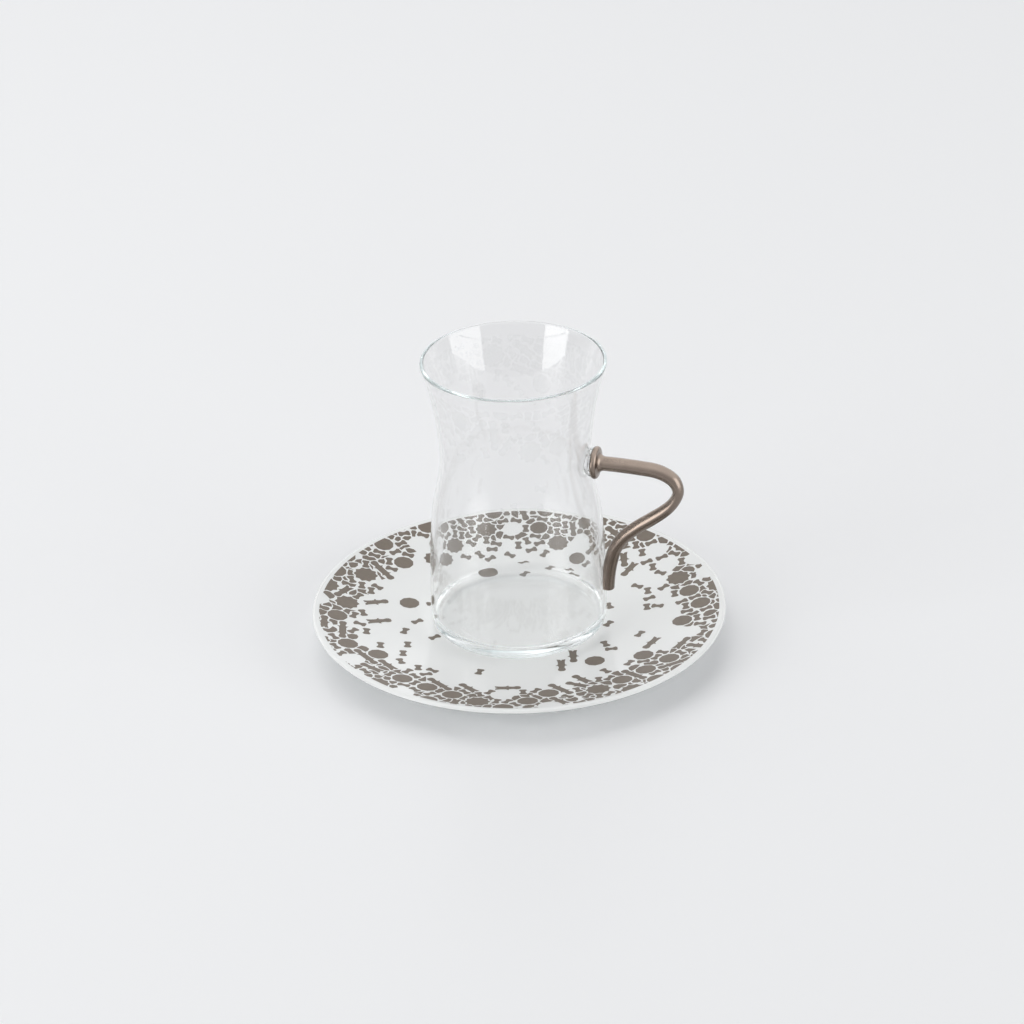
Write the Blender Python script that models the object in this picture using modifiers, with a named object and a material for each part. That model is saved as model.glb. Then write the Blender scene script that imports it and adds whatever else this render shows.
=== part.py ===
"""A waisted tea glass with a metal-coated handle, on its shallow porcelain saucer.

Metres, +Z up. The origin is on the floor, in the middle of the saucer's foot ring, and the
handle points along +X. Saucer, glass and handle are three separate pieces. Heights on the
glass and the handle are measured from the glass's own foot.
"""
import math

import bmesh
import bpy
from mathutils import Matrix, Vector

# Clearance between two pieces that touch, and the number of flats round a turned piece
GAP = 0.0003
ROUND_STEPS = 64
MERGE_DISTANCE = 0.00001
NORMAL_STEP = 0.0002

# Saucer: a flat well, a coupe that rises to a thin rounded lip, and a low foot ring
SAUCER_RADIUS = 0.065
SAUCER_WELL_RADIUS = 0.026
SAUCER_WELL_HEIGHT = 0.005
SAUCER_RISE = 0.0057
SAUCER_RISE_POWER = 1.7
SAUCER_LIP_RADIUS = 0.0010
SAUCER_WALL_AT_FOOT = 0.0031
SAUCER_FOOT_OUTER = 0.0385
SAUCER_FOOT_INNER = 0.0355
SAUCER_FOOT_FLARE = 0.0010
SAUCER_RECESS_HEIGHT = 0.0016
SAUCER_TOP_STEPS = 9
SAUCER_UNDER_STEPS = 6
SAUCER_LIP_STEPS = 6

# Glass: outer wall as (height, radius), from the top of the foot's corner to the rim
GLASS_WALL = 0.0011
GLASS_FOOT_CORNER = 0.0030
GLASS_BELLY = (0.0090, 0.0278)
GLASS_SHOULDER = (0.0400, 0.0262)
GLASS_WAIST = (0.0575, 0.0233)
GLASS_MOUTH = (0.0895, 0.0284)
GLASS_OUTLINE = (
    (GLASS_FOOT_CORNER, 0.0275),
    GLASS_BELLY,
    (0.0200, 0.0275),
    (0.0300, 0.0270),
    GLASS_SHOULDER,
    (0.0490, 0.0244),
    GLASS_WAIST,
    (0.0670, 0.0239),
    (0.0755, 0.0250),
    (0.0830, 0.0266),
    GLASS_MOUTH,
)
GLASS_FLOOR_HEIGHT = 0.0031
GLASS_INNER_CORNER = 0.0028
GLASS_FOOT_RING = 0.0020
GLASS_KICK_HEIGHT = 0.0008
GLASS_OUTER_STEPS = 18
GLASS_INNER_STEPS = 14
GLASS_CORNER_STEPS = 4
GLASS_RIM_STEPS = 6

# Handle: a rod on the y = 0 plane, round at the button and pressed to an oval below the bend,
# as (x, height, half thickness in the plane) from inside the button to the leg's end
HANDLE_ROD = (
    (0.0250, 0.0585, 0.00225),
    (0.0325, 0.0585, 0.00225),
    (0.0400, 0.0583, 0.00225),
    (0.0455, 0.0577, 0.00220),
    (0.0499, 0.0554, 0.00195),
    (0.0516, 0.0517, 0.00155),
    (0.0504, 0.0479, 0.00150),
    (0.0478, 0.0446, 0.00165),
    (0.0432, 0.0407, 0.00165),
    (0.0386, 0.0372, 0.00165),
    (0.0345, 0.0333, 0.00170),
    (0.0316, 0.0292, 0.00175),
    (0.0300, 0.0246, 0.00175),
    (0.0291, 0.0200, 0.00175),
    (0.0287, 0.0152, 0.00175),
)
HANDLE_HALF_WIDTH = 0.00225
HANDLE_SECTIONS = 34
HANDLE_SIDES = 14
BUTTON_BEAD_RADIUS = 0.00115
BUTTON_BEAD_X = 0.0255
BUTTON_BEAD_CENTRE = 0.00395
BUTTON_BACK_ANGLE = -80
BUTTON_BACK_X = 0.0205
NECK_FILLET = 0.0016
NECK_INSET = 0.0001
BUTTON_STEPS = 32
BUTTON_BEAD_STEPS = 8
NECK_STEPS = 4

GLASS_FOOT_Z = SAUCER_WELL_HEIGHT + GAP


def clear_scene():
    """Removes whatever the scene holds, so that a second run gives the same result."""
    for old in list(bpy.data.objects):
        bpy.data.objects.remove(old, do_unlink=True)
    for old in list(bpy.data.collections):
        bpy.data.collections.remove(old)


def new_collection(name):
    """An empty collection in the scene."""
    group = bpy.data.collections.new(name)
    bpy.context.scene.collection.children.link(group)
    return group


def finish(name, colour, roughness, metallic=0.0):
    """A plain Principled material."""
    material = bpy.data.materials.new(name)
    material.use_nodes = True
    shader = material.node_tree.nodes["Principled BSDF"]
    shader.inputs["Base Color"].default_value = (*colour, 1.0)
    shader.inputs["Roughness"].default_value = roughness
    shader.inputs["Metallic"].default_value = metallic
    return material


def spread(start, end, count):
    """Evenly spaced values from start to end, ends included."""
    return [start + (end - start) * step / count for step in range(count + 1)]


def lifted(profile):
    """A profile measured from the glass's foot, raised to where the glass stands."""
    return [(radius, height + GLASS_FOOT_Z) for radius, height in profile]


def arc(centre, radius, start, end, count):
    """Points on an arc about a (radius, height) centre, angles in degrees, ends included."""
    points = []
    for degrees in spread(start, end, count):
        angle = math.radians(degrees)
        points.append((centre[0] + radius * math.cos(angle), centre[1] + radius * math.sin(angle)))
    return points


def smooth_value(stations, place):
    """The value at a place, on a smooth curve through rising (place, value) stations."""
    last = len(stations) - 1

    def slope(index):
        before = stations[max(index - 1, 0)]
        after = stations[min(index + 1, last)]
        return (after[1] - before[1]) / (after[0] - before[0])

    index = 0
    while index < last - 1 and place > stations[index + 1][0]:
        index += 1
    (place_a, value_a), (place_b, value_b) = stations[index], stations[index + 1]
    span = place_b - place_a
    t = (place - place_a) / span
    start = (1 + 2 * t) * (1 - t) ** 2 * value_a + t * (1 - t) ** 2 * span * slope(index)
    end = t * t * (3 - 2 * t) * value_b + t * t * (t - 1) * span * slope(index + 1)
    return start + end


def wall_radius(height):
    """Outer radius of the glass at a height above its foot."""
    return smooth_value(GLASS_OUTLINE, height)


def wall_normal(height):
    """Unit vector pointing out of the glass's outer wall, as (radius, height) parts."""
    low = max(height - NORMAL_STEP, GLASS_OUTLINE[0][0])
    high = min(height + NORMAL_STEP, GLASS_MOUTH[0])
    lean = (wall_radius(high) - wall_radius(low)) / (high - low)
    length = math.hypot(1.0, lean)
    return 1.0 / length, -lean / length


def turned(name, profile, steps, material, group):
    """A solid of revolution about Z, from a (radius, height) profile down its outer side."""
    mesh = bpy.data.meshes.new(name)
    edges = [(index, index + 1) for index in range(len(profile) - 1)]
    mesh.from_pydata([(radius, 0.0, height) for radius, height in profile], edges, [])
    turned_piece = bpy.data.objects.new(name, mesh)
    group.objects.link(turned_piece)
    screw = turned_piece.modifiers.new("Turn", "SCREW")
    screw.axis = "Z"
    screw.angle = math.tau
    screw.steps = steps
    screw.render_steps = steps
    screw.use_merge_vertices = True
    screw.merge_threshold = MERGE_DISTANCE
    screw.use_smooth_shade = True
    mesh.materials.append(material)
    return turned_piece


def as_cutter(piece):
    """Marks a helper that shapes another piece and isn't one itself."""
    piece.hide_render = True
    piece.display_type = "WIRE"
    return piece


def saucer_top(radius):
    """Height of the saucer's upper face at a radius."""
    if radius <= SAUCER_WELL_RADIUS:
        return SAUCER_WELL_HEIGHT
    reach = SAUCER_RADIUS - SAUCER_LIP_RADIUS - SAUCER_WELL_RADIUS
    share = (radius - SAUCER_WELL_RADIUS) / reach
    return SAUCER_WELL_HEIGHT + SAUCER_RISE * share ** SAUCER_RISE_POWER


def saucer_underside(radius):
    """Height of the saucer's under face outside the foot ring, thinning towards the lip."""
    lip = SAUCER_RADIUS - SAUCER_LIP_RADIUS
    share = (radius - SAUCER_FOOT_OUTER) / (lip - SAUCER_FOOT_OUTER)
    thickness = SAUCER_WALL_AT_FOOT + (2 * SAUCER_LIP_RADIUS - SAUCER_WALL_AT_FOOT) * share
    return saucer_top(radius) - thickness


def build_saucer(group):
    """White porcelain saucer: coupe, rounded lip and foot ring in one turned solid."""
    lip_centre = SAUCER_RADIUS - SAUCER_LIP_RADIUS
    top_radii = spread(SAUCER_WELL_RADIUS, lip_centre, SAUCER_TOP_STEPS)
    under_radii = spread(lip_centre, SAUCER_FOOT_OUTER, SAUCER_UNDER_STEPS)
    lip_height = saucer_top(lip_centre) - SAUCER_LIP_RADIUS
    profile = [(0.0, SAUCER_WELL_HEIGHT), (SAUCER_WELL_RADIUS / 2, SAUCER_WELL_HEIGHT)]
    profile += [(radius, saucer_top(radius)) for radius in top_radii[:-1]]
    profile += arc((lip_centre, lip_height), SAUCER_LIP_RADIUS, 90, -90, SAUCER_LIP_STEPS)
    profile += [(radius, saucer_underside(radius)) for radius in under_radii[1:]]
    profile += [
        (SAUCER_FOOT_OUTER - SAUCER_FOOT_FLARE / 2, 0.0),
        (SAUCER_FOOT_INNER, 0.0),
        (SAUCER_FOOT_INNER - SAUCER_FOOT_FLARE, SAUCER_RECESS_HEIGHT),
        (0.0, SAUCER_RECESS_HEIGHT),
    ]
    white = finish("saucer_porcelain", (0.78, 0.79, 0.78), 0.18)
    return turned("saucer", profile, ROUND_STEPS, white, group)


def glass_outer():
    """The glass's outer side from the rim down to the foot's corner, as (radius, height)."""
    heights = spread(GLASS_MOUTH[0], GLASS_FOOT_CORNER, GLASS_OUTER_STEPS)
    wall = [(wall_radius(height), height) for height in heights]
    corner = (wall_radius(GLASS_FOOT_CORNER) - GLASS_FOOT_CORNER, GLASS_FOOT_CORNER)
    return wall + arc(corner, GLASS_FOOT_CORNER, 0, -90, GLASS_CORNER_STEPS)[1:]


def build_glass(group):
    """Clear glass blown thin, with a fire-polished rim and a heavier flat foot."""
    mouth_height = GLASS_MOUTH[0]
    inner_wall = []
    for height in spread(GLASS_FLOOR_HEIGHT + GLASS_INNER_CORNER, mouth_height, GLASS_INNER_STEPS):
        out_radius, out_height = wall_normal(height)
        inner_wall.append((wall_radius(height) - GLASS_WALL * out_radius, height - GLASS_WALL * out_height))
    inner_corner = (inner_wall[0][0] - GLASS_INNER_CORNER, inner_wall[0][1])
    floor_height = inner_corner[1] - GLASS_INNER_CORNER
    profile = [(0.0, floor_height), (inner_corner[0] / 2, floor_height)]
    profile += arc(inner_corner, GLASS_INNER_CORNER, -90, 0, GLASS_CORNER_STEPS)
    profile += inner_wall[1:]

    out_radius, out_height = wall_normal(mouth_height)
    rim_centre = (GLASS_MOUTH[1] - GLASS_WALL / 2 * out_radius, mouth_height - GLASS_WALL / 2 * out_height)
    lean = math.degrees(math.atan2(out_height, out_radius))
    profile += arc(rim_centre, GLASS_WALL / 2, lean + 180, lean, GLASS_RIM_STEPS)[1:-1]
    profile += glass_outer()

    ring_outer = profile[-1][0]
    ring_inner = ring_outer - GLASS_FOOT_RING
    profile += [
        (ring_inner, 0.0),
        (ring_inner - GLASS_KICK_HEIGHT, GLASS_KICK_HEIGHT),
        (0.0, GLASS_KICK_HEIGHT),
    ]
    clear = finish("glass_clear", (0.86, 0.90, 0.88), 0.05)
    return turned("tea_glass", lifted(profile), ROUND_STEPS, clear, group)


def wall_cutter(group, material):
    """The glass's outer shape grown by the gap, which trims the back of the handle."""
    profile = [(0.0, GLASS_MOUTH[0])]
    profile += [(radius + GAP, height) for radius, height in glass_outer()]
    profile += [(0.0, 0.0)]
    return as_cutter(turned("glass_wall_cutter", lifted(profile), ROUND_STEPS, material, group))


def handle_button(group, material):
    """The round button that seats the rod on the waist: a bead with a hollow neck to the rod."""
    bead = (BUTTON_BEAD_CENTRE, BUTTON_BEAD_X)
    face_x = BUTTON_BEAD_X + BUTTON_BEAD_RADIUS
    neck_radius = HANDLE_HALF_WIDTH - NECK_INSET
    neck = arc((neck_radius + NECK_FILLET, face_x + NECK_FILLET), NECK_FILLET, 180, 270, NECK_STEPS)
    profile = [(0.0, face_x + NECK_FILLET)]
    profile += neck[:-1]
    profile += arc(bead, BUTTON_BEAD_RADIUS, 90, BUTTON_BACK_ANGLE, BUTTON_BEAD_STEPS)
    profile += [(profile[-1][0], BUTTON_BACK_X), (0.0, BUTTON_BACK_X)]
    button = as_cutter(turned("handle_button", profile, BUTTON_STEPS, material, group))
    rod_height = GLASS_FOOT_Z + HANDLE_ROD[0][1]
    button.matrix_world = Matrix.Translation((0, 0, rod_height)) @ Matrix.Rotation(math.radians(90), 4, "Y")
    return button


def rod_sections():
    """Places along the rod's middle line, as (place, direction, half thickness)."""
    reach = [0.0]
    for before, after in zip(HANDLE_ROD, HANDLE_ROD[1:]):
        reach.append(reach[-1] + math.dist(before[:2], after[:2]))
    tracks = [[(along, station[track]) for along, station in zip(reach, HANDLE_ROD)] for track in range(3)]
    places = []
    for step in range(HANDLE_SECTIONS + 1):
        along = reach[-1] * step / HANDLE_SECTIONS
        x, height, thickness = (smooth_value(track, along) for track in tracks)
        places.append((Vector((x, 0.0, height + GLASS_FOOT_Z)), thickness))
    sections = []
    for index, (place, thickness) in enumerate(places):
        before = places[max(index - 1, 0)][0]
        after = places[min(index + 1, HANDLE_SECTIONS)][0]
        sections.append((place, (after - before).normalized(), thickness))
    return sections


def handle_rod(group, material):
    """The bent rod: a loft through ovals whose thickness changes and whose width doesn't."""
    across = Vector((0.0, 1.0, 0.0))
    shape = bmesh.new()
    rings = []
    for place, direction, thickness in rod_sections():
        outward = across.cross(direction)
        ring = []
        for side in range(HANDLE_SIDES):
            angle = math.tau * side / HANDLE_SIDES
            in_plane = outward * (thickness * math.cos(angle))
            sideways = across * (HANDLE_HALF_WIDTH * math.sin(angle))
            ring.append(shape.verts.new(place + in_plane + sideways))
        rings.append(ring)
    for near, far in zip(rings, rings[1:]):
        for side in range(HANDLE_SIDES):
            following = (side + 1) % HANDLE_SIDES
            shape.faces.new((near[side], near[following], far[following], far[side]))
    shape.faces.new(rings[0])
    shape.faces.new(rings[-1])
    bmesh.ops.recalc_face_normals(shape, faces=shape.faces)
    mesh = bpy.data.meshes.new("handle")
    shape.to_mesh(mesh)
    shape.free()
    mesh.shade_smooth()
    mesh.materials.append(material)
    rod = bpy.data.objects.new("handle", mesh)
    group.objects.link(rod)
    return rod


def build_handle(group, cutters):
    """Handle: the rod and its button in one piece, trimmed to lie on the glass's wall."""
    bronze = finish("handle_coating", (0.24, 0.21, 0.19), 0.32, 1.0)
    rod = handle_rod(group, bronze)
    join = rod.modifiers.new("Button", "BOOLEAN")
    join.operation = "UNION"
    join.object = handle_button(cutters, bronze)
    trim = rod.modifiers.new("Seat on the wall", "BOOLEAN")
    trim.operation = "DIFFERENCE"
    trim.object = wall_cutter(cutters, bronze)
    return rod


clear_scene()
pieces = new_collection("tea_glass_on_saucer")
helpers = new_collection("cutters")
build_saucer(pieces)
build_glass(pieces)
build_handle(pieces, helpers)
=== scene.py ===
"""Looks of a waisted tea glass with a metal-coated handle, on its printed porcelain saucer."""
import math
import random

import bmesh
import bpy
import numpy
from mathutils import Matrix, Vector
from mathutils.geometry import delaunay_2d_cdt


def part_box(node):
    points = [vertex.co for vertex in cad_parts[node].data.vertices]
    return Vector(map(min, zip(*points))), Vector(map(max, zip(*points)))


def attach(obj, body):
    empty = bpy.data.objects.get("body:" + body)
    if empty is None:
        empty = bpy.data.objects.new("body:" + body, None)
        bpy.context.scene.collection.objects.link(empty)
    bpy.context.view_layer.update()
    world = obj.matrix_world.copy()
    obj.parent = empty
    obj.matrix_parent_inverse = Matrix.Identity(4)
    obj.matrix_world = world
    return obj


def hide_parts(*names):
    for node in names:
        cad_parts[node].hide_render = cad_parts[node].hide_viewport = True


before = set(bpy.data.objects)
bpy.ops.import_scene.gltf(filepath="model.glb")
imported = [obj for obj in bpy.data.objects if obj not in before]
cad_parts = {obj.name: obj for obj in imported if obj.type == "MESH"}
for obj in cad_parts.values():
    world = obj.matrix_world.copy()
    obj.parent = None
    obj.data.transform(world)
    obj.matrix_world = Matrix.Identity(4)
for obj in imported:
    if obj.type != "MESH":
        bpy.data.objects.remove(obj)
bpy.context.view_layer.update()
glass_low, glass_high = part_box("tea_glass")


# Camera: it looks down on the saucer from 28 degrees above the floor, turned a little towards
# the handle's side. Lens, distance and roll are those that give the saucer its ellipse.
CAMERA_LENS = 115.84
CAMERA_DISTANCE = 1.0926
CAMERA_TURN = math.radians(17.0)
CAMERA_HEIGHT_ANGLE = math.radians(28.04)
CAMERA_ROLL = math.radians(-1.425)
CAMERA_AIM_RIGHT = -0.0015
CAMERA_AIM_BEYOND = 0.0614
CAMERA_AIM_HEIGHT = 0.0105
CAMERA_CLIP_START = 0.05
GLASS_BOUNCES = 128
DIFFUSE_BOUNCES = 8

view_right = Vector((math.cos(CAMERA_TURN), math.sin(CAMERA_TURN), 0.0))
view_beyond = Vector((-math.sin(CAMERA_TURN), math.cos(CAMERA_TURN), 0.0))
view_up = Vector((0.0, 0.0, 1.0))
aim = view_right * CAMERA_AIM_RIGHT + view_beyond * CAMERA_AIM_BEYOND
aim += view_up * CAMERA_AIM_HEIGHT
back = view_up * math.sin(CAMERA_HEIGHT_ANGLE) - view_beyond * math.cos(CAMERA_HEIGHT_ANGLE)
upright = back.cross(view_right)
rolled_right = view_right * math.cos(CAMERA_ROLL) + upright * math.sin(CAMERA_ROLL)
rolled_up = upright * math.cos(CAMERA_ROLL) - view_right * math.sin(CAMERA_ROLL)
camera_data = bpy.data.cameras.new("camera")
camera_data.lens = CAMERA_LENS
camera_data.clip_start = CAMERA_CLIP_START
camera = bpy.data.objects.new("camera", camera_data)
axes = Matrix((rolled_right, rolled_up, back)).transposed()
camera.matrix_world = Matrix.Translation(aim + back * CAMERA_DISTANCE) @ axes.to_4x4()
bpy.context.scene.collection.objects.link(camera)
bpy.context.scene.camera = camera
bpy.context.scene.view_settings.view_transform = "Standard"
light_paths = bpy.context.scene.cycles
light_paths.max_bounces = GLASS_BOUNCES
light_paths.transmission_bounces = GLASS_BOUNCES
light_paths.glossy_bounces = GLASS_BOUNCES
light_paths.diffuse_bounces = DIFFUSE_BOUNCES
light_paths.blur_glossy = 0.0


# Floor: the white sheet that the saucer stands on, matt and barely uneven. It ends a little in
# front of the saucer, outside the picture. The shader helpers that every finish uses are here.
FLOOR_HALF = 4.0
FLOOR_FRONT = 0.45
FLOOR_COLOUR = (0.925, 0.930, 0.940)
FLOOR_GREY = (0.915, 0.920, 0.930)


class Shade:
    """A shader socket that can be added to, scaled and compared like a number."""

    def __init__(self, tree, socket):
        self.tree = tree
        self.socket = socket

    def node(self, kind, settings=None, inputs=None, output=0):
        """A new node: its settings are set first, then the values or links of its sockets."""
        made = self.tree.nodes.new(kind)
        for name, value in (settings or {}).items():
            setattr(made, name, value)
        for place, value in (inputs or {}).items():
            if isinstance(value, Shade):
                self.tree.links.new(value.socket, made.inputs[place])
            else:
                made.inputs[place].default_value = value
        return Shade(self.tree, made.outputs[output])

    def maths(self, operation, first, second):
        """The result of an operation on two values or sockets."""
        return self.node("ShaderNodeMath", {"operation": operation}, {0: first, 1: second})

    def __add__(self, other):
        return self.maths("ADD", self, other)

    __radd__ = __add__

    def __sub__(self, other):
        return self.maths("SUBTRACT", self, other)

    def __rsub__(self, other):
        return self.maths("SUBTRACT", other, self)

    def __mul__(self, other):
        return self.maths("MULTIPLY", self, other)

    __rmul__ = __mul__

    def above(self, edge, softness):
        """0 well below the edge, 1 well above it, with a soft step between."""
        settings = {"interpolation_type": "SMOOTHSTEP"}
        limits = {0: self, 1: edge - softness, 2: edge + softness}
        return self.node("ShaderNodeMapRange", settings, limits)

    def noise(self, scale, detail=3.0):
        """Fractal noise read at these coordinates, about 0.5 on average."""
        inputs = {"Vector": self, "Scale": scale, "Detail": detail, "Roughness": 0.5}
        return self.node("ShaderNodeTexNoise", {}, inputs)

    def mixed(self, low, high):
        """Between two colours or colour sockets, with this socket as the share of the second."""
        inputs = {0: self, 6: low, 7: high}
        return self.node("ShaderNodeMix", {"data_type": "RGBA"}, inputs, output=2)

    def between(self, low, high):
        """Between two colours given as red, green and blue."""
        return self.mixed((*low, 1.0), (*high, 1.0))

    def bump(self, height):
        """A normal tilted by this socket as a height, in metres at full value."""
        inputs = {"Height": self, "Distance": height, "Strength": 1.0}
        return self.node("ShaderNodeBump", {}, inputs)


def new_finish(name, **constants):
    """A Principled material, its shader node and its object coordinates."""
    material = bpy.data.materials.new(name)
    material.use_nodes = True
    tree = material.node_tree
    shader = tree.nodes["Principled BSDF"]
    for socket, value in constants.items():
        shader.inputs[socket.replace("_", " ")].default_value = value
    place = Shade(tree, None).node("ShaderNodeTexCoord", output=3)
    return material, shader, place


def feed(shader, **sockets):
    """Links sockets into a shader's inputs."""
    for name, shade in sockets.items():
        shade.tree.links.new(shade.socket, shader.inputs[name.replace("_", " ")])


def new_piece(name, mesh, material):
    """A mesh object in the scene, smooth shaded, in one material."""
    mesh.materials.clear()
    mesh.materials.append(material)
    mesh.shade_smooth()
    piece = bpy.data.objects.new(name, mesh)
    bpy.context.scene.collection.objects.link(piece)
    return piece


floor_mesh = bpy.data.meshes.new("floor")
floor_corners = []
for side, along in ((-1, -FLOOR_FRONT), (1, -FLOOR_FRONT), (1, FLOOR_HALF), (-1, FLOOR_HALF)):
    floor_corners.append(view_right * side * FLOOR_HALF + view_beyond * along)
floor_mesh.from_pydata(floor_corners, [], [(0, 1, 2, 3)])
paper_constants = {"Roughness": 0.35, "Specular_IOR_Level": 0.2}
paper, paper_shader, paper_place = new_finish("white_paper", **paper_constants)
feed(paper_shader, Base_Color=paper_place.noise(3.0).between(FLOOR_GREY, FLOOR_COLOUR))
new_piece("floor", floor_mesh, paper)


# Lights: a room that is brighter overhead and beyond than in front, a broad soft lamp above, and
# two upright window-like lamps in front. Reflections see the room brighter than matt surfaces do.
ROOM_FRONT = (0.190, 0.191, 0.193)
ROOM_OVERHEAD = (0.470, 0.473, 0.478)
SHINE_FRONT = (0.80, 0.80, 0.81)
SHINE_OVERHEAD = (1.75, 1.76, 1.78)
SHINE_KEPT_BY_GLASS = 0.25
ROOM_SLANT = 0.45
ROOM_EDGE = 0.35
TOP_LAMP_POWER = 7.8
TOP_LAMP_SIZE = 1.6
TOP_LAMP_PLACE = (-0.45, 0.45, 1.35)
WINDOW_HEIGHT = 1.25
WINDOW_SILL = -0.30
WINDOW_DISTANCE = 1.25
# Each window's turn from straight in front, its width and its power.
WINDOWS = {
    "left_window": (math.radians(-58), 0.74, 9.5),
    "right_window": (math.radians(64), 1.06, 9.6),
}


def lamp(name, place, target, width, height, power):
    """A rectangular lamp that faces its target."""
    data = bpy.data.lights.new(name, "AREA")
    data.shape = "RECTANGLE"
    data.size = width
    data.size_y = height
    data.energy = power
    lit = bpy.data.objects.new(name, data)
    facing = (target - place).to_track_quat("-Z", "Y")
    lit.matrix_world = Matrix.Translation(place) @ facing.to_matrix().to_4x4()
    bpy.context.scene.collection.objects.link(lit)
    return lit


world = bpy.data.worlds.new("room")
world.use_nodes = True
room_light = world.node_tree.nodes["Background"]
room = Shade(world.node_tree, None)
room_way = room.node("ShaderNodeTexCoord", output="Generated")
room_x, room_y, room_z = (
    room.node("ShaderNodeSeparateXYZ", {}, {0: room_way}, output=axis) for axis in "XYZ"
)
room_beyond = room_x * view_beyond.x + room_y * view_beyond.y
room_bright = (room_z + ROOM_SLANT * room_beyond).above(ROOM_EDGE, 0.5)
room_diffuse = room_bright.between(ROOM_FRONT, ROOM_OVERHEAD)
room_shine = room_bright.between(SHINE_FRONT, SHINE_OVERHEAD)
after_diffuse = room.node("ShaderNodeLightPath", output="Diffuse Depth").above(0.5, 0.1)
after_glass = room.node("ShaderNodeLightPath", output="Transmission Depth").above(0.5, 0.1)
shine_share = (1 - after_diffuse) * (1 - (1 - SHINE_KEPT_BY_GLASS) * after_glass)
feed(room_light, Color=shine_share.mixed(room_diffuse, room_shine))
world.cycles.sampling_method = "NONE"
bpy.context.scene.world = world
glass_middle = (glass_low + glass_high) / 2
top_right, top_beyond, top_up = TOP_LAMP_PLACE
top_place = view_right * top_right + view_beyond * top_beyond + view_up * top_up
top_lamp = lamp("top_lamp", top_place, glass_middle, TOP_LAMP_SIZE, TOP_LAMP_SIZE, TOP_LAMP_POWER)
top_lamp.visible_glossy = False
for name, (turn, width, power) in WINDOWS.items():
    towards = view_right * math.sin(turn) - view_beyond * math.cos(turn)
    window_place = towards * WINDOW_DISTANCE + view_up * (WINDOW_HEIGHT / 2 + WINDOW_SILL)
    level_target = Vector((0.0, 0.0, window_place.z))
    lamp(name, window_place, level_target, width, WINDOW_HEIGHT, power)


# Saucer: white porcelain, jiggered as one coupe with a flat well, a thin rounded lip and a low
# foot ring. A thin darker band is painted round the lip's lower edge: painted shade and painted
# reflection of the dark room in front. The glaze is wiped off the foot ring's face.
SAUCER_RADIUS = 0.065
SAUCER_WELL_RADIUS = 0.026
SAUCER_WELL_HEIGHT = 0.005
SAUCER_RISE = 0.0057
SAUCER_RISE_POWER = 1.7
SAUCER_LIP_RADIUS = 0.0008
SAUCER_WALL_AT_FOOT = 0.0031
SAUCER_FOOT_OUTER = 0.0385
SAUCER_FOOT_INNER = 0.0355
SAUCER_FOOT_FLARE = 0.0010
SAUCER_FOOT_ROUND = 0.0004
SAUCER_FOOT_FILLET = 0.0006
SAUCER_FOOT_TAPER = 0.0005
SAUCER_RECESS_HEIGHT = 0.0016
SAUCER_TURN_STEPS = 240
SAUCER_LIP_CENTRE = SAUCER_RADIUS - SAUCER_LIP_RADIUS
PORCELAIN_WHITE = (0.868, 0.880, 0.872)
PORCELAIN_SHADE = (0.855, 0.866, 0.858)
# Colour, width and drop of the painted shade and reflection band under the lip's edge.
LIP_PAINTED_SHADE = (0.430, 0.440, 0.440)
LIP_SHADE_WIDTH = 0.00035
LIP_SHADE_DROP = 0.0002
WIPED_HEIGHT = 0.00015
UNGLAZED_ROUGHNESS = 0.62


def spread(start, end, count):
    """Evenly spaced values from start to end, ends included."""
    return [start + (end - start) * step / count for step in range(count + 1)]


def arc(centre, radius, start, end, count):
    """Points on an arc about a (radius, height) centre, angles in degrees, ends included."""
    points = []
    for degrees in spread(start, end, count):
        turn = math.radians(degrees)
        points.append((centre[0] + radius * math.cos(turn), centre[1] + radius * math.sin(turn)))
    return points


def turned_mesh(name, profile, steps):
    """A closed solid of revolution about Z, from a (radius, height) profile that ends on the axis."""
    shape = bmesh.new()
    rings = []
    for radius, height in profile:
        if radius < 1e-7:
            rings.append([shape.verts.new((0.0, 0.0, height))])
            continue
        turns = [math.tau * step / steps for step in range(steps)]
        rings.append([shape.verts.new((radius * math.cos(t), radius * math.sin(t), height)) for t in turns])
    for near, far in zip(rings, rings[1:]):
        for step in range(steps):
            following = (step + 1) % steps
            loop = [near[step % len(near)], near[following % len(near)]]
            loop += [far[following % len(far)], far[step % len(far)]]
            shape.faces.new(list(dict.fromkeys(loop)))
    bmesh.ops.recalc_face_normals(shape, faces=shape.faces)
    mesh = bpy.data.meshes.new(name)
    shape.to_mesh(mesh)
    shape.free()
    return mesh


def saucer_top(radius):
    """Height of the saucer's upper face at a radius."""
    if radius <= SAUCER_WELL_RADIUS:
        return SAUCER_WELL_HEIGHT
    share = (radius - SAUCER_WELL_RADIUS) / (SAUCER_LIP_CENTRE - SAUCER_WELL_RADIUS)
    return SAUCER_WELL_HEIGHT + SAUCER_RISE * share ** SAUCER_RISE_POWER


def saucer_underside(radius):
    """Height of the under face outside the foot ring, thinning towards the lip."""
    share = (radius - SAUCER_FOOT_OUTER) / (SAUCER_LIP_CENTRE - SAUCER_FOOT_OUTER)
    thinning = (2 * SAUCER_LIP_RADIUS - SAUCER_WALL_AT_FOOT) * share
    return saucer_top(radius) - SAUCER_WALL_AT_FOOT - thinning


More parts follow.
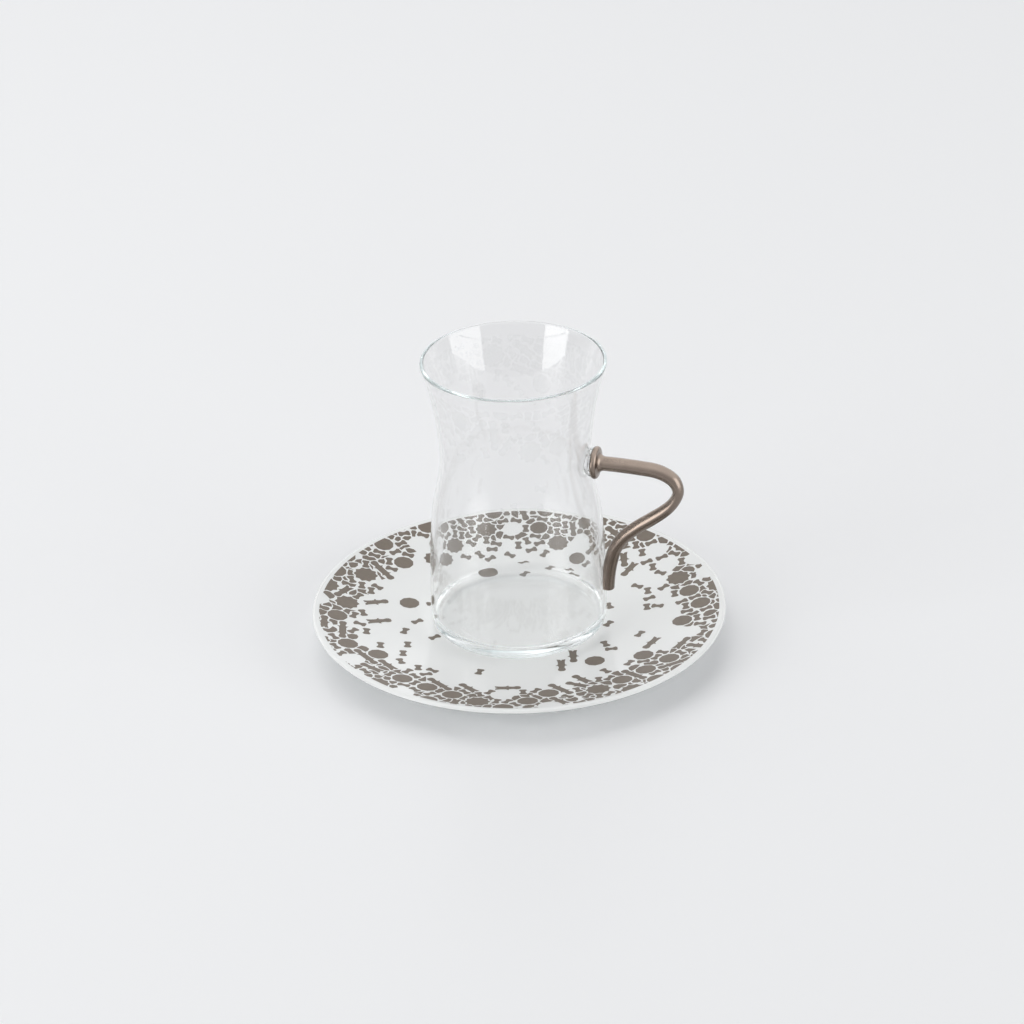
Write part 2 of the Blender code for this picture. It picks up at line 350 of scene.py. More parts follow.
lip_centre = (SAUCER_LIP_CENTRE, saucer_top(SAUCER_LIP_CENTRE) - SAUCER_LIP_RADIUS)
foot_outer_round = (SAUCER_FOOT_OUTER - SAUCER_FOOT_TAPER - SAUCER_FOOT_ROUND, SAUCER_FOOT_ROUND)
foot_inner_round = (SAUCER_FOOT_INNER + SAUCER_FOOT_ROUND, SAUCER_FOOT_ROUND)
saucer_profile = [(0.0, SAUCER_WELL_HEIGHT), (SAUCER_WELL_RADIUS / 2, SAUCER_WELL_HEIGHT)]
for radius in spread(SAUCER_WELL_RADIUS, SAUCER_LIP_CENTRE, 36)[:-1]:
    saucer_profile.append((radius, saucer_top(radius)))
saucer_profile += arc(lip_centre, SAUCER_LIP_RADIUS, 90, -90, 16)
for radius in spread(SAUCER_LIP_CENTRE, SAUCER_FOOT_OUTER + SAUCER_FOOT_FILLET, 20)[1:]:
    saucer_profile.append((radius, saucer_underside(radius)))
saucer_profile += [(SAUCER_FOOT_OUTER, saucer_underside(SAUCER_FOOT_OUTER) - SAUCER_FOOT_FILLET / 2)]
saucer_profile += arc(foot_outer_round, SAUCER_FOOT_ROUND, 0, -90, 4)
saucer_profile += arc(foot_inner_round, SAUCER_FOOT_ROUND, -90, -180, 4)
saucer_profile += [
    (SAUCER_FOOT_INNER - SAUCER_FOOT_FLARE * 0.7, SAUCER_RECESS_HEIGHT - SAUCER_FOOT_FILLET / 2),
    (SAUCER_FOOT_INNER - SAUCER_FOOT_FLARE, SAUCER_RECESS_HEIGHT),
    (0.0, SAUCER_RECESS_HEIGHT),
]
porcelain_constants = {"IOR": 1.52, "Specular_IOR_Level": 0.35}
porcelain, porcelain_shader, porcelain_place = new_finish("glazed_porcelain", **porcelain_constants)
height = porcelain_place.node("ShaderNodeSeparateXYZ", {}, {0: porcelain_place}, output=2)
length_of = {"operation": "LENGTH"}
middle_distance = porcelain_place.node("ShaderNodeVectorMath", length_of, {0: porcelain_place}, output=1)
glazed = height.above(WIPED_HEIGHT, 0.0001)
near_edge = middle_distance.above(SAUCER_RADIUS - LIP_SHADE_WIDTH, 0.0003)
below_edge = 1 - height.above(lip_centre[1] - LIP_SHADE_DROP, 0.0001)
porcelain_glaze = porcelain_place.noise(55.0).between(PORCELAIN_SHADE, PORCELAIN_WHITE)
# The band under the lip's edge is painted darker: painted shade and reflection, not the porcelain's own
# colour.
feed(
    porcelain_shader,
    Base_Color=(near_edge * below_edge).mixed(porcelain_glaze, (*LIP_PAINTED_SHADE, 1.0)),
    Roughness=UNGLAZED_ROUGHNESS - 0.53 * glazed + 0.05 * porcelain_place.noise(140.0),
    Normal=porcelain_place.noise(420.0, detail=2.0).bump(0.000012),
)
saucer_mesh = turned_mesh("saucer_porcelain", saucer_profile, SAUCER_TURN_STEPS)
saucer = new_piece("saucer_porcelain", saucer_mesh, porcelain)
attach(saucer, "root")
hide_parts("saucer")


# Saucer's print: a mosaic of straight-sided tiles in taupe enamel, fired on the glaze. Decagons
# and stars stand on a lattice of rhombs, with barbed bars, half bars and bones between them:
# close-set in a band inside the lip, and breaking up into loose bones towards the well.
MILLIMETRE = 0.001
TILE_SITE_STEP = 9.3
TILE_GROUT = 0.38
TILE_CELL = 0.12
TILE_WAY = 18
TILE_FACE_STEP = 0.0015
ODD_TILE_REACH = 2.6
ROW_COUNT = 5
PRINT_RADIUS = 0.063
PRINT_LIFT = 0.00003
PRINT_GRID_HALF = 74
FIRST_ROW_RADIUS = 27.6
BAND_INNER_RADIUS = 50.5
BAND_OUTER_RADIUS = 66
WELL_RADIUS = 26
ENAMEL_DARK = (0.150, 0.122, 0.096)
ENAMEL_LIGHT = (0.186, 0.155, 0.124)


def polar(radius, degrees):
    """A point in the plane at a distance and a direction."""
    return Vector((math.cos(math.radians(degrees)), math.sin(math.radians(degrees)))) * radius


def turned(point, degrees):
    """A point of the plane, turned about its origin."""
    return Vector(point[:2]) @ Matrix.Rotation(math.radians(-degrees), 2)


def both_sides(half):
    """A closed outline, anticlockwise, from its upper half."""
    return [(x, -y) for x, y in half] + [(x, y) for x, y in reversed(half) if y > 0]


# Outlines of the tiles, in millimetres.
tile_arm = [(2.30, 1.08), (2.70, 0.90), (3.20, 0.88), (4.20, 1.22), (5.00, 1.12), (5.50, 0.60)]
tile_barb = [(1.20, 1.10), (1.65, 1.16), (2.35, 1.80)]
tile_tail = [(-1.55, 0.0), (-2.20, 0.35), (-2.40, 1.40), (-1.00, 1.12), (0.0, 1.08), (0.95, 1.12)]
half_bar = [(-x, y) for x, y in reversed(tile_barb + tile_arm)] + tile_barb + tile_arm
half_bone = [(-1.95, 0.85), (-1.35, 1.28), (-0.38, 0.74), (0.38, 0.74), (1.35, 1.28), (1.95, 0.85)]
TILE_OUTLINES = {
    "decagon": [polar(3.22, 18 + 36 * corner) for corner in range(10)],
    "star": [polar((3.95, 3.30)[corner % 2], 18 * corner) for corner in range(20)],
    "bar": both_sides(half_bar),
    "half_bar": both_sides(tile_tail + [(1.75, 1.85), (1.80, 1.10)] + tile_arm[1:]),
    "bone": both_sides(half_bone),
}


def cells_of(corners):
    """Grid cells, about the origin, that an outline covers and those that it takes with its grout."""
    outline = numpy.array(corners)
    low = numpy.floor((outline.min(0) - TILE_GROUT) / TILE_CELL)
    high = numpy.ceil((outline.max(0) + TILE_GROUT) / TILE_CELL)
    spans = [numpy.arange(low[axis], high[axis] + 1) for axis in (0, 1)]
    cells = numpy.stack(numpy.meshgrid(*spans, indexing="ij"), 2).reshape(-1, 2)
    spots = cells * TILE_CELL
    inside = numpy.zeros(len(spots), bool)
    nearest = numpy.full(len(spots), 99.0)
    for start, end in zip(outline, numpy.roll(outline, -1, 0)):
        along = end - start
        from_start = spots - start
        share = numpy.clip(from_start @ along / (along @ along), 0, 1)
        nearest = numpy.minimum(nearest, numpy.hypot(*(from_start - share[:, None] * along).T))
        between = (start[1] > spots[:, 1]) != (end[1] > spots[:, 1])
        inside ^= between & (from_start[:, 0] < from_start[:, 1] / (along[1] or 1.0) * along[0])
    cells = cells.astype(int)
    return cells[inside], cells[inside | (nearest < TILE_GROUT)]


class Mosaic:
    """Tiles in the plane, in millimetres, over a grid whose cells each tile takes with its grout.
    A tile is laid only on free cells. A mosaic that goes round a wall repeats after its length."""

    tile_cells = {}

    def __init__(self, seed, depth, low, high, repeats=False):
        self.draw = random.Random(seed)
        self.depth = depth
        self.low = numpy.array(low)
        self.count = numpy.round((numpy.array(high) - self.low) / TILE_CELL).astype(int)
        self.cell = (numpy.array(high) - self.low) / self.count
        self.repeats = repeats
        self.taken = numpy.zeros(self.count, bool)
        self.tiles = []

    def cells(self, kind, way):
        """What a kind of tile covers and takes when it is turned by eighteen degrees times its way."""
        if (kind, way) not in self.tile_cells:
            corners = [turned(corner, TILE_WAY * way) for corner in TILE_OUTLINES[kind]]
            self.tile_cells[kind, way] = cells_of(corners)
        return self.tile_cells[kind, way]

    def over(self, cells, place):
        """The grid's index of cells about a place, or nothing where they leave the grid."""
        at = cells + numpy.round((numpy.array(place) - self.low) / self.cell).astype(int)
        if self.repeats:
            at[:, 0] %= self.count[0]
        if at.min() < 0 or (at >= self.count).any():
            return None
        return at[:, 0], at[:, 1]

    def fits(self, kind, place, way):
        """Whether all the cells that a tile would cover are free."""
        at = self.over(self.cells(kind, way)[0], place)
        return at is not None and not self.taken[at].any()

    def lay(self, kind, place, turn, shown=True):
        """Lays a tile if it fits, and says whether it did. One that isn't shown keeps its place bare."""
        way = round(turn / TILE_WAY) % 20
        taken = self.over(self.cells(kind, way)[1], place)
        if taken is None or not self.fits(kind, place, way):
            return False
        self.taken[taken] = True
        if shown:
            corners = [turned(corner, TILE_WAY * way) for corner in TILE_OUTLINES[kind]]
            self.tiles.append([(place + corner) * MILLIMETRE for corner in corners])
        return True

    def lay_rows(self, turn, low, columns, step, within):
        """Fills rows of the lattice: first the decagons and stars, then the bars between them.
        Each row leans to the left or right of the one below."""
        rise = step * math.sin(math.radians(72))
        slip = step * math.cos(math.radians(72))
        leans = [self.draw.choice((-1, 1)) for _ in range(ROW_COUNT)]
        starts = [self.draw.uniform(0, step)]
        for lean in leans:
            starts.append(starts[-1] + slip * lean)
        crossings = [(row, column) for row in range(ROW_COUNT) for column in columns]
        level_arms = {crossing: self.draw.random() < 0.5 for crossing in crossings}
        links = []
        for row, column in crossings:
            site = Vector((starts[row] + column * step, low + rise * row))
            arms = level_arms[row, column]
            arms_below = level_arms.get((row - 1, column), arms)
            arms_beside = level_arms.get((row, column - 1), arms)
            links.append((site + Vector((step / 2, 0)), 90, arms, arms_below))
            leaning = Vector((slip * leans[row], rise)) / 2
            links.append((site + leaning, 90 + 72 * leans[row], not arms_beside, not arms))
            if within(site):
                self.lay_site(turned(site, turn), turn)
        self.draw.shuffle(links)
        for middle, way, arm_ahead, arm_behind in links:
            place = turned(middle, turn)
            depth = self.depth(place)
            chance = 0.97 if depth > 1.5 else 0.75
            if within(middle) and depth > -2 and self.draw.random() < chance:
                self.lay_link(place, turn + way, arm_ahead, arm_behind)

    def lay_site(self, place, turn):
        """A decagon, a star with bones round it, or a bare decagon, on a point of the lattice."""
        depth = self.depth(place)
        choice = self.draw.random()
        kind = "star" if choice < 0.15 else "decagon"
        if choice > 0.84 or depth < -1.5 and (choice > 0.66 or self.draw.random() > 0.05):
            return
        if self.lay(kind, place, turn, choice < 0.66) and kind == "star":
            for tip in range(10):
                if self.draw.random() < 0.6:
                    heading = turn + 36 * tip + 18
                    self.lay("bone", place + polar(5.85, heading), heading)

    def lay_link(self, place, turn, arm_ahead, arm_behind):
        """A bar, a half bar or a bone between two points of the lattice, whichever fits first."""
        tries = []
        if arm_ahead and arm_behind:
            tries.append(("bar", turn))
        if arm_ahead:
            tries.append(("half_bar", turn))
        if arm_behind:
            tries.append(("half_bar", turn + 180))
        tries.append(("bone", turn))
        any(self.lay(kind, place, way) for kind, way in tries)

    def push_in(self, kind, place, way):
        """Where a tile comes to rest when it is pushed against its neighbours."""
        push = 36 * self.draw.randrange(10)
        for heading in (push, push + 72, push - 72):
            stride = polar(TILE_CELL, heading)
            for _ in range(24):
                if not self.fits(kind, place + stride, way):
                    break
                place = place + stride
        return place

    def scatter(self, kind, count, random_place, chance, close=False):
        """Lays one kind of tile at random places where it still fits, turned any way."""
        for _ in range(count):
            place = random_place(self.draw)
            if self.draw.random() > chance(self.depth(place)):
                continue
            ways = self.draw.sample(range(20), 6)
            way = next((way for way in ways if self.fits(kind, place, way)), None)
            if way is None:
                continue
            if close:
                place = self.push_in(kind, place, way)
            self.lay(kind, place, TILE_WAY * way)

    def fill(self, count, random_place, least, chance):
        """Cuts odd tiles to what is still free: straight sides between ten corners, each as far
        from the middle as it can be. One with less than the least area isn't laid."""
        steps = numpy.arange(0, int(ODD_TILE_REACH / TILE_CELL))
        for _ in range(count):
            place = random_place(self.draw)
            start = self.draw.choice((0, TILE_WAY))
            if self.draw.random() > chance(self.depth(place)):
                continue
            ways = [polar(1, start + 36 * corner) for corner in range(10)]
            cells = numpy.round(steps[:, None, None] * numpy.array(ways)).astype(int)
            at = self.over(cells.reshape(-1, 2), place)
            if at is None:
                continue
            blocked = self.taken[at].reshape(len(steps), 10)
            free = numpy.where(blocked.any(0), blocked.argmax(0), len(steps)) * TILE_CELL
            area = (free * numpy.roll(free, -1)).sum() * math.sin(math.radians(36)) / 2
            if area < least or free.min() < 2 * TILE_CELL:
                continue
            corners = [way * (distance - TILE_CELL) for way, distance in zip(ways, free)]
            taken = self.over(cells_of(corners)[1], place)
            if taken is not None:
                self.taken[taken] = True
                self.tiles.append([(place + corner) * MILLIMETRE for corner in corners])


def tile_mesh(name, tiles, edge, low, high, on_surface):
    """One mesh of the tiles' parts inside an edge, in triangles small enough to follow a surface."""
    points = []
    loops = []
    for outline in [edge] + tiles:
        first = len(points)
        for corner, following in zip(outline, outline[1:] + outline[:1]):
            pieces = max(1, math.ceil((following - corner).length / TILE_FACE_STEP))
            points += [corner.lerp(following, piece / pieces) for piece in range(pieces)]
        loops.append(list(range(first, len(points))))
    for column in range(int((high.x - low.x) / TILE_FACE_STEP)):
        for row in range(int((high.y - low.y) / TILE_FACE_STEP)):
            points.append(low + Vector((column + 0.5 * (row % 2), row)) * TILE_FACE_STEP)
    places, _, faces, _, _, owners = delaunay_2d_cdt(points, [], loops, 0, 1e-8)
    kept = [face for face, over in zip(faces, owners) if 0 in over and len(over) > 1]
    used = sorted({corner for face in kept for corner in face})
    number = {corner: index for index, corner in enumerate(used)}
    mesh = bpy.data.meshes.new(name)
    corners = [on_surface(places[corner]) for corner in used]
    mesh.from_pydata(corners, [], [[number[corner] for corner in face] for face in kept])
    return mesh


def saucer_depth(place):
    """Millimetres that a point lies inside the close-set band, whose inner side is uneven."""
    turn = math.atan2(place.y, place.x)
    slow_wave = 1.8 * math.sin(2 * turn + 1.0)
    quick_wave = 1.6 * math.sin(5 * turn + 2.0)
    return place.length - BAND_INNER_RADIUS - slow_wave - quick_wave


def on_saucer(place):
    """A point of the flat design, on the saucer's upper face."""
    return (place.x, place.y, saucer_top(place.length) + PRINT_LIFT)


def in_ring(inner, outer):
    """A way to draw random places between two radii."""
    def random_place(draw):
        return polar(draw.uniform(inner ** 2, outer ** 2) ** 0.5, draw.uniform(0, 360))
    return random_place


def in_sector(spot):
    """Whether a place belongs to the fifth of the saucer that its rows are laid for."""
    return abs(math.degrees(math.atan2(spot.x, spot.y))) < 38 and spot.length < 67


def in_band(depth):
    """The chance of a close-set tile: every one in the band, and none outside it."""
    return 1.0 if depth > -1.0 else 0.0


def deep_in_band(depth):
    """The chance of an odd tile, which is less near the band's uneven side."""
    if depth > 4:
        return 1.0
    return 0.5 if depth > 1 else 0.0


def loose(depth):
    """The chance of a loose tile, which is less the further it lies from the band."""
    if depth > -1.5:
        return 0.0
    return 0.30 if depth > -8 else 0.09


grid_corner = numpy.array((PRINT_GRID_HALF, PRINT_GRID_HALF))
saucer_mosaic = Mosaic("saucer", saucer_depth, -grid_corner, grid_corner)
for sector in range(5):
    sector_turn = 72 * sector + TILE_WAY
    saucer_mosaic.lay_rows(sector_turn, FIRST_ROW_RADIUS, range(-8, 8), TILE_SITE_STEP, in_sector)
for kind, tries, inner in (("bar", 800, 50), ("half_bar", 2500, 48), ("bone", 5000, 47)):
    saucer_mosaic.scatter(kind, tries, in_ring(inner, BAND_OUTER_RADIUS), in_band, close=True)
for least in (5.0, 3.4, 2.2, 1.4):
    saucer_mosaic.fill(2500, in_ring(49, BAND_OUTER_RADIUS), least, deep_in_band)
for kind, tries in (("half_bar", 60), ("bone", 500)):
    saucer_mosaic.scatter(kind, tries, in_ring(WELL_RADIUS, 52), loose)
print_edge = [polar(PRINT_RADIUS, 2 * step) for step in range(180)]
reach = Vector((PRINT_RADIUS, PRINT_RADIUS))
enamel, enamel_shader, enamel_place = new_finish("taupe_enamel", IOR=1.5, Specular_IOR_Level=0.3)
feed(
    enamel_shader,
    Base_Color=enamel_place.noise(900.0, detail=4.0).between(ENAMEL_DARK, ENAMEL_LIGHT),
    Roughness=0.40 + 0.12 * enamel_place.noise(500.0),
    Normal=enamel_place.noise(2600.0, detail=2.0).bump(0.000006),
)
saucer_tiles = tile_mesh("saucer_print", saucer_mosaic.tiles, print_edge, -reach, reach, on_saucer)
saucer_print = new_piece("saucer_print", saucer_tiles, enamel)
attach(saucer_print, "root")


# Glass: clear glass blown thin into a waisted shape, with a fire-polished rim and a heavier foot,
# hollowed a little below. Outer wall as (height, radius), from the foot's corner to the rim.
GLASS_FOOT_Z = 0.0053
GLASS_WALL = 0.0011
GLASS_FOOT_CORNER = 0.0030
GLASS_BELLY = (0.0090, 0.0278)
GLASS_SHOULDER = (0.0400, 0.0262)
GLASS_WAIST = (0.0575, 0.0233)
GLASS_MOUTH = (0.0895, 0.0284)
GLASS_OUTLINE = (
    (GLASS_FOOT_CORNER, 0.0275),
    GLASS_BELLY,
    (0.0200, 0.0275),
    (0.0300, 0.0270),
    GLASS_SHOULDER,
    (0.0490, 0.0244),
    GLASS_WAIST,
    (0.0670, 0.0239),
    (0.0755, 0.0250),
    (0.0830, 0.0266),
    GLASS_MOUTH,
)
GLASS_FLOOR_HEIGHT = 0.0031
GLASS_INNER_CORNER = 0.0028
GLASS_FOOT_RING = 0.0020
GLASS_KICK_HEIGHT = 0.0005
GLASS_TURN_STEPS = 256
GLASS_TINT = (0.40, 0.64, 0.66)
GLASS_TINT_DENSITY = 2.4
GLASS_RIPPLE = 0.000005


def smooth_value(stations, place):
    """The value at a place, on a smooth curve through rising (place, value) stations."""
    last = len(stations) - 1

    def slope(index):
        before = stations[max(index - 1, 0)]
        after = stations[min(index + 1, last)]
        return (after[1] - before[1]) / (after[0] - before[0])

    index = 0
    while index < last - 1 and place > stations[index + 1][0]:
        index += 1
    (place_a, value_a), (place_b, value_b) = stations[index], stations[index + 1]
    span = place_b - place_a
    t = (place - place_a) / span
    start = (1 + 2 * t) * (1 - t) ** 2 * value_a + t * (1 - t) ** 2 * span * slope(index)
    end = t * t * (3 - 2 * t) * value_b + t * t * (t - 1) * span * slope(index + 1)
    return start + end


def wall_radius(height):
    """Outer radius of the glass at a height above its foot."""
    return smooth_value(GLASS_OUTLINE, height)


def wall_normal(height):
    """Unit vector pointing out of the glass's outer wall, as (radius, height) parts."""
    low = max(height - 0.0002, GLASS_OUTLINE[0][0])
    high = min(height + 0.0002, GLASS_MOUTH[0])
    lean = (wall_radius(high) - wall_radius(low)) / (high - low)
    length = math.hypot(1.0, lean)
    return 1.0 / length, -lean / length


def lifted(profile):
    """A profile measured from the glass's foot, raised to where the glass stands."""
    return [(radius, height + GLASS_FOOT_Z) for radius, height in profile]


def outer_wall(gap=0.0):
    """The outer side from the rim down to the foot's corner, as (radius, height)."""
    heights = spread(GLASS_MOUTH[0], GLASS_FOOT_CORNER, 90)
    wall = [(wall_radius(height) + gap, height) for height in heights]
    corner = (wall_radius(GLASS_FOOT_CORNER) - GLASS_FOOT_CORNER + gap, GLASS_FOOT_CORNER)
    return wall + arc(corner, GLASS_FOOT_CORNER, 0, -90, 16)[1:]


inner_wall = []
for height in spread(GLASS_FLOOR_HEIGHT + GLASS_INNER_CORNER, GLASS_MOUTH[0], 80):
    out_radius, out_height = wall_normal(height)
    inner_wall.append((wall_radius(height) - GLASS_WALL * out_radius, height - GLASS_WALL * out_height))
inner_corner = (inner_wall[0][0] - GLASS_INNER_CORNER, inner_wall[0][1])
floor_height = inner_corner[1] - GLASS_INNER_CORNER
glass_profile = [(0.0, floor_height), (inner_corner[0] / 2, floor_height)]
glass_profile += arc(inner_corner, GLASS_INNER_CORNER, -90, 0, 16)
glass_profile += inner_wall[1:]
out_radius, out_height = wall_normal(GLASS_MOUTH[0])
rim_radius = GLASS_WALL / 2
rim_centre = (GLASS_MOUTH[1] - rim_radius * out_radius, GLASS_MOUTH[0] - rim_radius * out_height)
rim_lean = math.degrees(math.atan2(out_height, out_radius))
glass_profile += arc(rim_centre, rim_radius, rim_lean + 180, rim_lean, 14)[1:-1]
glass_profile += outer_wall()
ring_inner = glass_profile[-1][0] - GLASS_FOOT_RING
for share in spread(0.0, 1.0, 12):
    glass_profile.append((ring_inner * (1 - share), GLASS_KICK_HEIGHT * share * (2 - share)))


def clear_finish(name, ripple):
    """Clear glass with a faint tint in its depth and a slow ripple from being blown."""
    material, shader, place = new_finish(name, Roughness=0.0, IOR=1.48, Transmission_Weight=1.0)
    shader.inputs["Base Color"].default_value = (1.0, 1.0, 1.0, 1.0)
    feed(shader, Normal=place.noise(60.0, detail=1.0).bump(ripple))
    tree = material.node_tree
    depth = tree.nodes.new("ShaderNodeVolumeAbsorption")
    depth.inputs["Color"].default_value = (*GLASS_TINT, 1.0)
    depth.inputs["Density"].default_value = GLASS_TINT_DENSITY
    tree.links.new(depth.outputs[0], tree.nodes["Material Output"].inputs["Volume"])
    return material


glass_mesh = turned_mesh("glass_body", lifted(glass_profile), GLASS_TURN_STEPS)
glass = new_piece("glass_body", glass_mesh, clear_finish("clear_glass", GLASS_RIPPLE))
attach(glass, "root")
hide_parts("tea_glass")


# Glass's print: the same mosaic as a thin, nearly clear frosting on the outer wall, close-set
# below the rim and breaking up towards the waist.
FROST_LIFT = 0.00003
FROST_BOTTOM = 0.040
FROST_TOP = 0.0858
FROST_OVERLAP = 0.012
FROST_GRID_LOW = 38
FROST_GRID_HIGH = 98
FROST_FIRST_ROW = 53.0
FROST_BAND_LOW = 74.5
FROST_COLUMNS = 17
FROST_RADIUS = 0.0255
FROST_GREY = (0.74, 0.77, 0.76)
FROST_COVER = 0.085


def frost_depth(place):
    """Millimetres that a point lies above the uneven lower side of the close-set band."""
    turn = place.x * MILLIMETRE / FROST_RADIUS
    slow_wave = 2.2 * math.sin(3 * turn + 0.5)
    quick_wave = 1.6 * math.sin(7 * turn)
    return place.y - FROST_BAND_LOW - slow_wave - quick_wave


def on_wall(place):
    """A point of the flat design, just off the glass's outer wall."""
    radius = wall_radius(place.y) + FROST_LIFT
    turn = place.x / FROST_RADIUS
    return (radius * math.cos(turn), radius * math.sin(turn), place.y + GLASS_FOOT_Z)


frost_length = math.tau * FROST_RADIUS
frost_step = frost_length / FROST_COLUMNS / MILLIMETRE
frost_grid_low = (0, FROST_GRID_LOW)
frost_grid_high = (frost_length / MILLIMETRE, FROST_GRID_HIGH)
frost_mosaic = Mosaic("glass", frost_depth, frost_grid_low, frost_grid_high, repeats=True)


def on_band(low, high):
    """A way to draw random places round the wall between two heights."""
    def random_place(draw):
        return Vector((draw.uniform(0, frost_length / MILLIMETRE), draw.uniform(low, high)))
    return random_place


def anywhere(spot):
    """Every place belongs to the rows, which go round the whole wall."""
    return True


frost_mosaic.lay_rows(0, FROST_FIRST_ROW, range(FROST_COLUMNS), frost_step, anywhere)
for kind, tries in (("bar", 500), ("half_bar", 1500), ("bone", 3000)):
    frost_mosaic.scatter(kind, tries, on_band(70, 90), in_band, close=True)
for least in (5.0, 3.0, 1.6):
    frost_mosaic.fill(1500, on_band(70, 90), least, deep_in_band)
for kind, tries in (("half_bar", 60), ("bone", 400)):
    frost_mosaic.scatter(kind, tries, on_band(44, 76), loose)
frost_low = Vector((-FROST_OVERLAP, FROST_BOTTOM))
frost_high = Vector((frost_length + FROST_OVERLAP, FROST_TOP))
frost_low_right = Vector((frost_high.x, frost_low.y))
frost_high_left = Vector((frost_low.x, frost_high.y))
frost_edge = [frost_low, frost_low_right, frost_high, frost_high_left]
frost, frost_shader, frost_place = new_finish("frosted_enamel", IOR=1.3, Alpha=FROST_COVER)
frost_shader.inputs["Base Color"].default_value = (*FROST_GREY, 1.0)
feed(frost_shader, Roughness=0.5 + 0.1 * frost_place.noise(500.0))
wall_tiles = tile_mesh("glass_print", frost_mosaic.tiles, frost_edge, frost_low, frost_high, on_wall)
glass_print = new_piece("glass_print", wall_tiles, frost)
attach(glass_print, "root")


# Handle: a glass rod coated in dark bronze, bent while soft and pressed a little below its bend.
# A coated bead with a hollow neck seats it on the waist over an uncoated clear foot, and its leg
# lies on the wall. Rod as (distance from the axis, height, half thickness, pressing).
HANDLE_ROD = (
    (0.0250, 0.0583, 0.00225, 1.0),
    (0.0325, 0.0583, 0.00225, 1.0),
    (0.0400, 0.0581, 0.00225, 1.0),
    (0.0455, 0.0575, 0.00222, 1.0),
    (0.0499, 0.0552, 0.00205, 1.0),
    (0.0515, 0.0516, 0.00175, 1.1),
    (0.0503, 0.0480, 0.00175, 1.1),
    (0.0477, 0.0448, 0.00195, 1.1),
    (0.0431, 0.0410, 0.00210, 1.1),
    (0.0385, 0.0375, 0.00210, 1.1),
    (0.0344, 0.0336, 0.00210, 1.1),
    (0.0316, 0.0293, 0.00210, 1.05),
    (0.0302, 0.0246, 0.00210, 1.0),
    (0.0294, 0.0200, 0.00210, 1.0),
    (0.0290, 0.0152, 0.00210, 1.0),
)
HANDLE_HALF_WIDTH = 0.00235
HANDLE_SECTIONS = 110
HANDLE_SIDES = 36
HANDLE_WALL_GAP = 0.00035
BEAD_RADIUS = 0.00100
BEAD_X = 0.0256
BEAD_CENTRE = 0.00410
NECK_FILLET = 0.0019
NECK_RADIUS = 0.00225
BEAD_SIDES = 96
FOOT_GAP = 0.00003
FOOT_ROUND = 0.00052
FOOT_INSET = 0.0002
FOOT_INNER_X = 0.0226
FOOT_RIPPLE = 0.000004
BRONZE_LIGHT = (0.255, 0.207, 0.174)
BRONZE_DARK = (0.205, 0.165, 0.138)


def rod_mesh(name, stations, width):
    """A loft through ovals along the rod. Each station has a place, a thickness and a pressing,
    which is 1 for an oval and more where the rod is pressed to flatter faces."""
    reach = [0.0]
    for before, after in zip(stations, stations[1:]):
        reach.append(reach[-1] + math.dist(before[:2], after[:2]))
    tracks = [list(zip(reach, values)) for values in zip(*stations)]
    places = []
    for along in spread(0.0, reach[-1], HANDLE_SECTIONS):
        x, height, thickness, pressing = (smooth_value(track, along) for track in tracks)
        places.append((Vector((x, 0.0, height + GLASS_FOOT_Z)), thickness, pressing))
    across = Vector((0.0, 1.0, 0.0))
    shape = bmesh.new()
    rings = []
    for index, (place, thickness, pressing) in enumerate(places):
        before = places[max(index - 1, 0)][0]
        after = places[min(index + 1, HANDLE_SECTIONS)][0]
        outward = across.cross((after - before).normalized())
        ring = []
        for side in range(HANDLE_SIDES):
            turn = math.tau * side / HANDLE_SIDES
            out_share = math.copysign(abs(math.cos(turn)) ** pressing, math.cos(turn))
            side_share = math.copysign(abs(math.sin(turn)) ** pressing, math.sin(turn))
            offset = outward * (thickness * out_share) + across * (width * side_share)
            ring.append(shape.verts.new(place + offset))
        rings.append(ring)
    for near, far in zip(rings, rings[1:]):
        for side in range(HANDLE_SIDES):
            following = (side + 1) % HANDLE_SIDES
            shape.faces.new((near[side], near[following], far[following], far[side]))
    shape.faces.new(rings[0])
    shape.faces.new(rings[-1])
    bmesh.ops.recalc_face_normals(shape, faces=shape.faces)
    mesh = bpy.data.meshes.new(name)
    shape.to_mesh(mesh)
    shape.free()
    return mesh


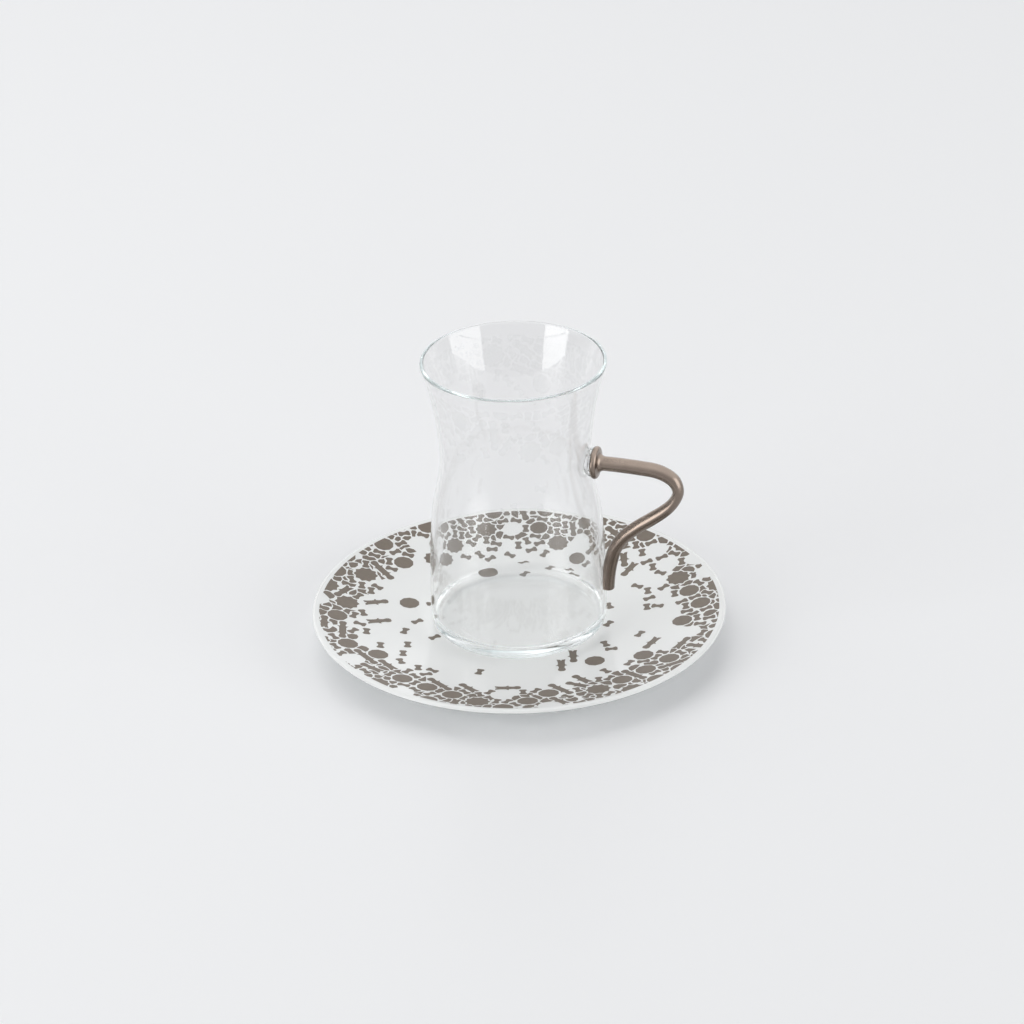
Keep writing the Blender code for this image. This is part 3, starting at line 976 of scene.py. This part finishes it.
bronze, bronze_shader, bronze_place = new_finish("bronze_coating", Metallic=1.0)
feed(
    bronze_shader,
    Base_Color=bronze_place.noise(220.0, detail=4.0).between(BRONZE_DARK, BRONZE_LIGHT),
    Roughness=0.21 + 0.08 * bronze_place.noise(350.0),
    Normal=bronze_place.noise(260.0, detail=2.0).bump(0.00002),
)
cutter_profile = [(0.0, GLASS_MOUTH[0])] + outer_wall(HANDLE_WALL_GAP) + [(0.0, 0.0)]
cutter_mesh = turned_mesh("wall_cutter", lifted(cutter_profile), GLASS_TURN_STEPS)
cutter = new_piece("wall_cutter", cutter_mesh, bronze)
rod = new_piece("handle_rod", rod_mesh("handle_rod", HANDLE_ROD, HANDLE_HALF_WIDTH), bronze)
trim = rod.modifiers.new("seat on the wall", "BOOLEAN")
trim.operation = "DIFFERENCE"
trim.object = cutter
shaped = bpy.data.meshes.new_from_object(rod.evaluated_get(bpy.context.evaluated_depsgraph_get()))
rod.modifiers.clear()
rod.data = shaped
bpy.data.objects.remove(cutter)
rod.data.set_sharp_from_angle(angle=math.radians(50))

# Bead and foot as (radius, distance from the glass's axis), turned to lie along the rod.
neck_start = BEAD_X + BEAD_RADIUS + NECK_FILLET
neck_centre = (NECK_RADIUS + NECK_FILLET, neck_start)
bead_profile = [(0.0, neck_start)]
bead_profile += arc(neck_centre, NECK_FILLET, 180, 270, 12)[:-1]
bead_profile += arc((BEAD_CENTRE, BEAD_X), BEAD_RADIUS, 90, -90, 24)
bead_profile += [(0.0, BEAD_X - BEAD_RADIUS)]
seat_place = Matrix.Translation((0, 0, GLASS_FOOT_Z + HANDLE_ROD[0][1]))
seat = seat_place @ Matrix.Rotation(math.radians(90), 4, "Y")
bead_mesh = turned_mesh("handle_bead", bead_profile, BEAD_SIDES)
bead_mesh.transform(seat)
bead = new_piece("handle_bead", bead_mesh, bronze)

foot_face = BEAD_X - BEAD_RADIUS - FOOT_GAP
foot_radius = BEAD_CENTRE - FOOT_INSET
foot_profile = [(0.0, foot_face)]
foot_profile += arc((foot_radius, foot_face - FOOT_ROUND), FOOT_ROUND, 90, -60, 10)
foot_profile += [(foot_radius, FOOT_INNER_X), (0.0, FOOT_INNER_X)]
foot_mesh = turned_mesh("handle_foot", foot_profile, BEAD_SIDES)
foot_mesh.transform(seat)
foot = new_piece("handle_foot", foot_mesh, clear_finish("clear_foot", FOOT_RIPPLE))
for piece, slot in ((rod, "bronze_coating"), (bead, "bronze_coating"), (foot, "clear_glass")):
    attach(piece, "root")
    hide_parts("handle")
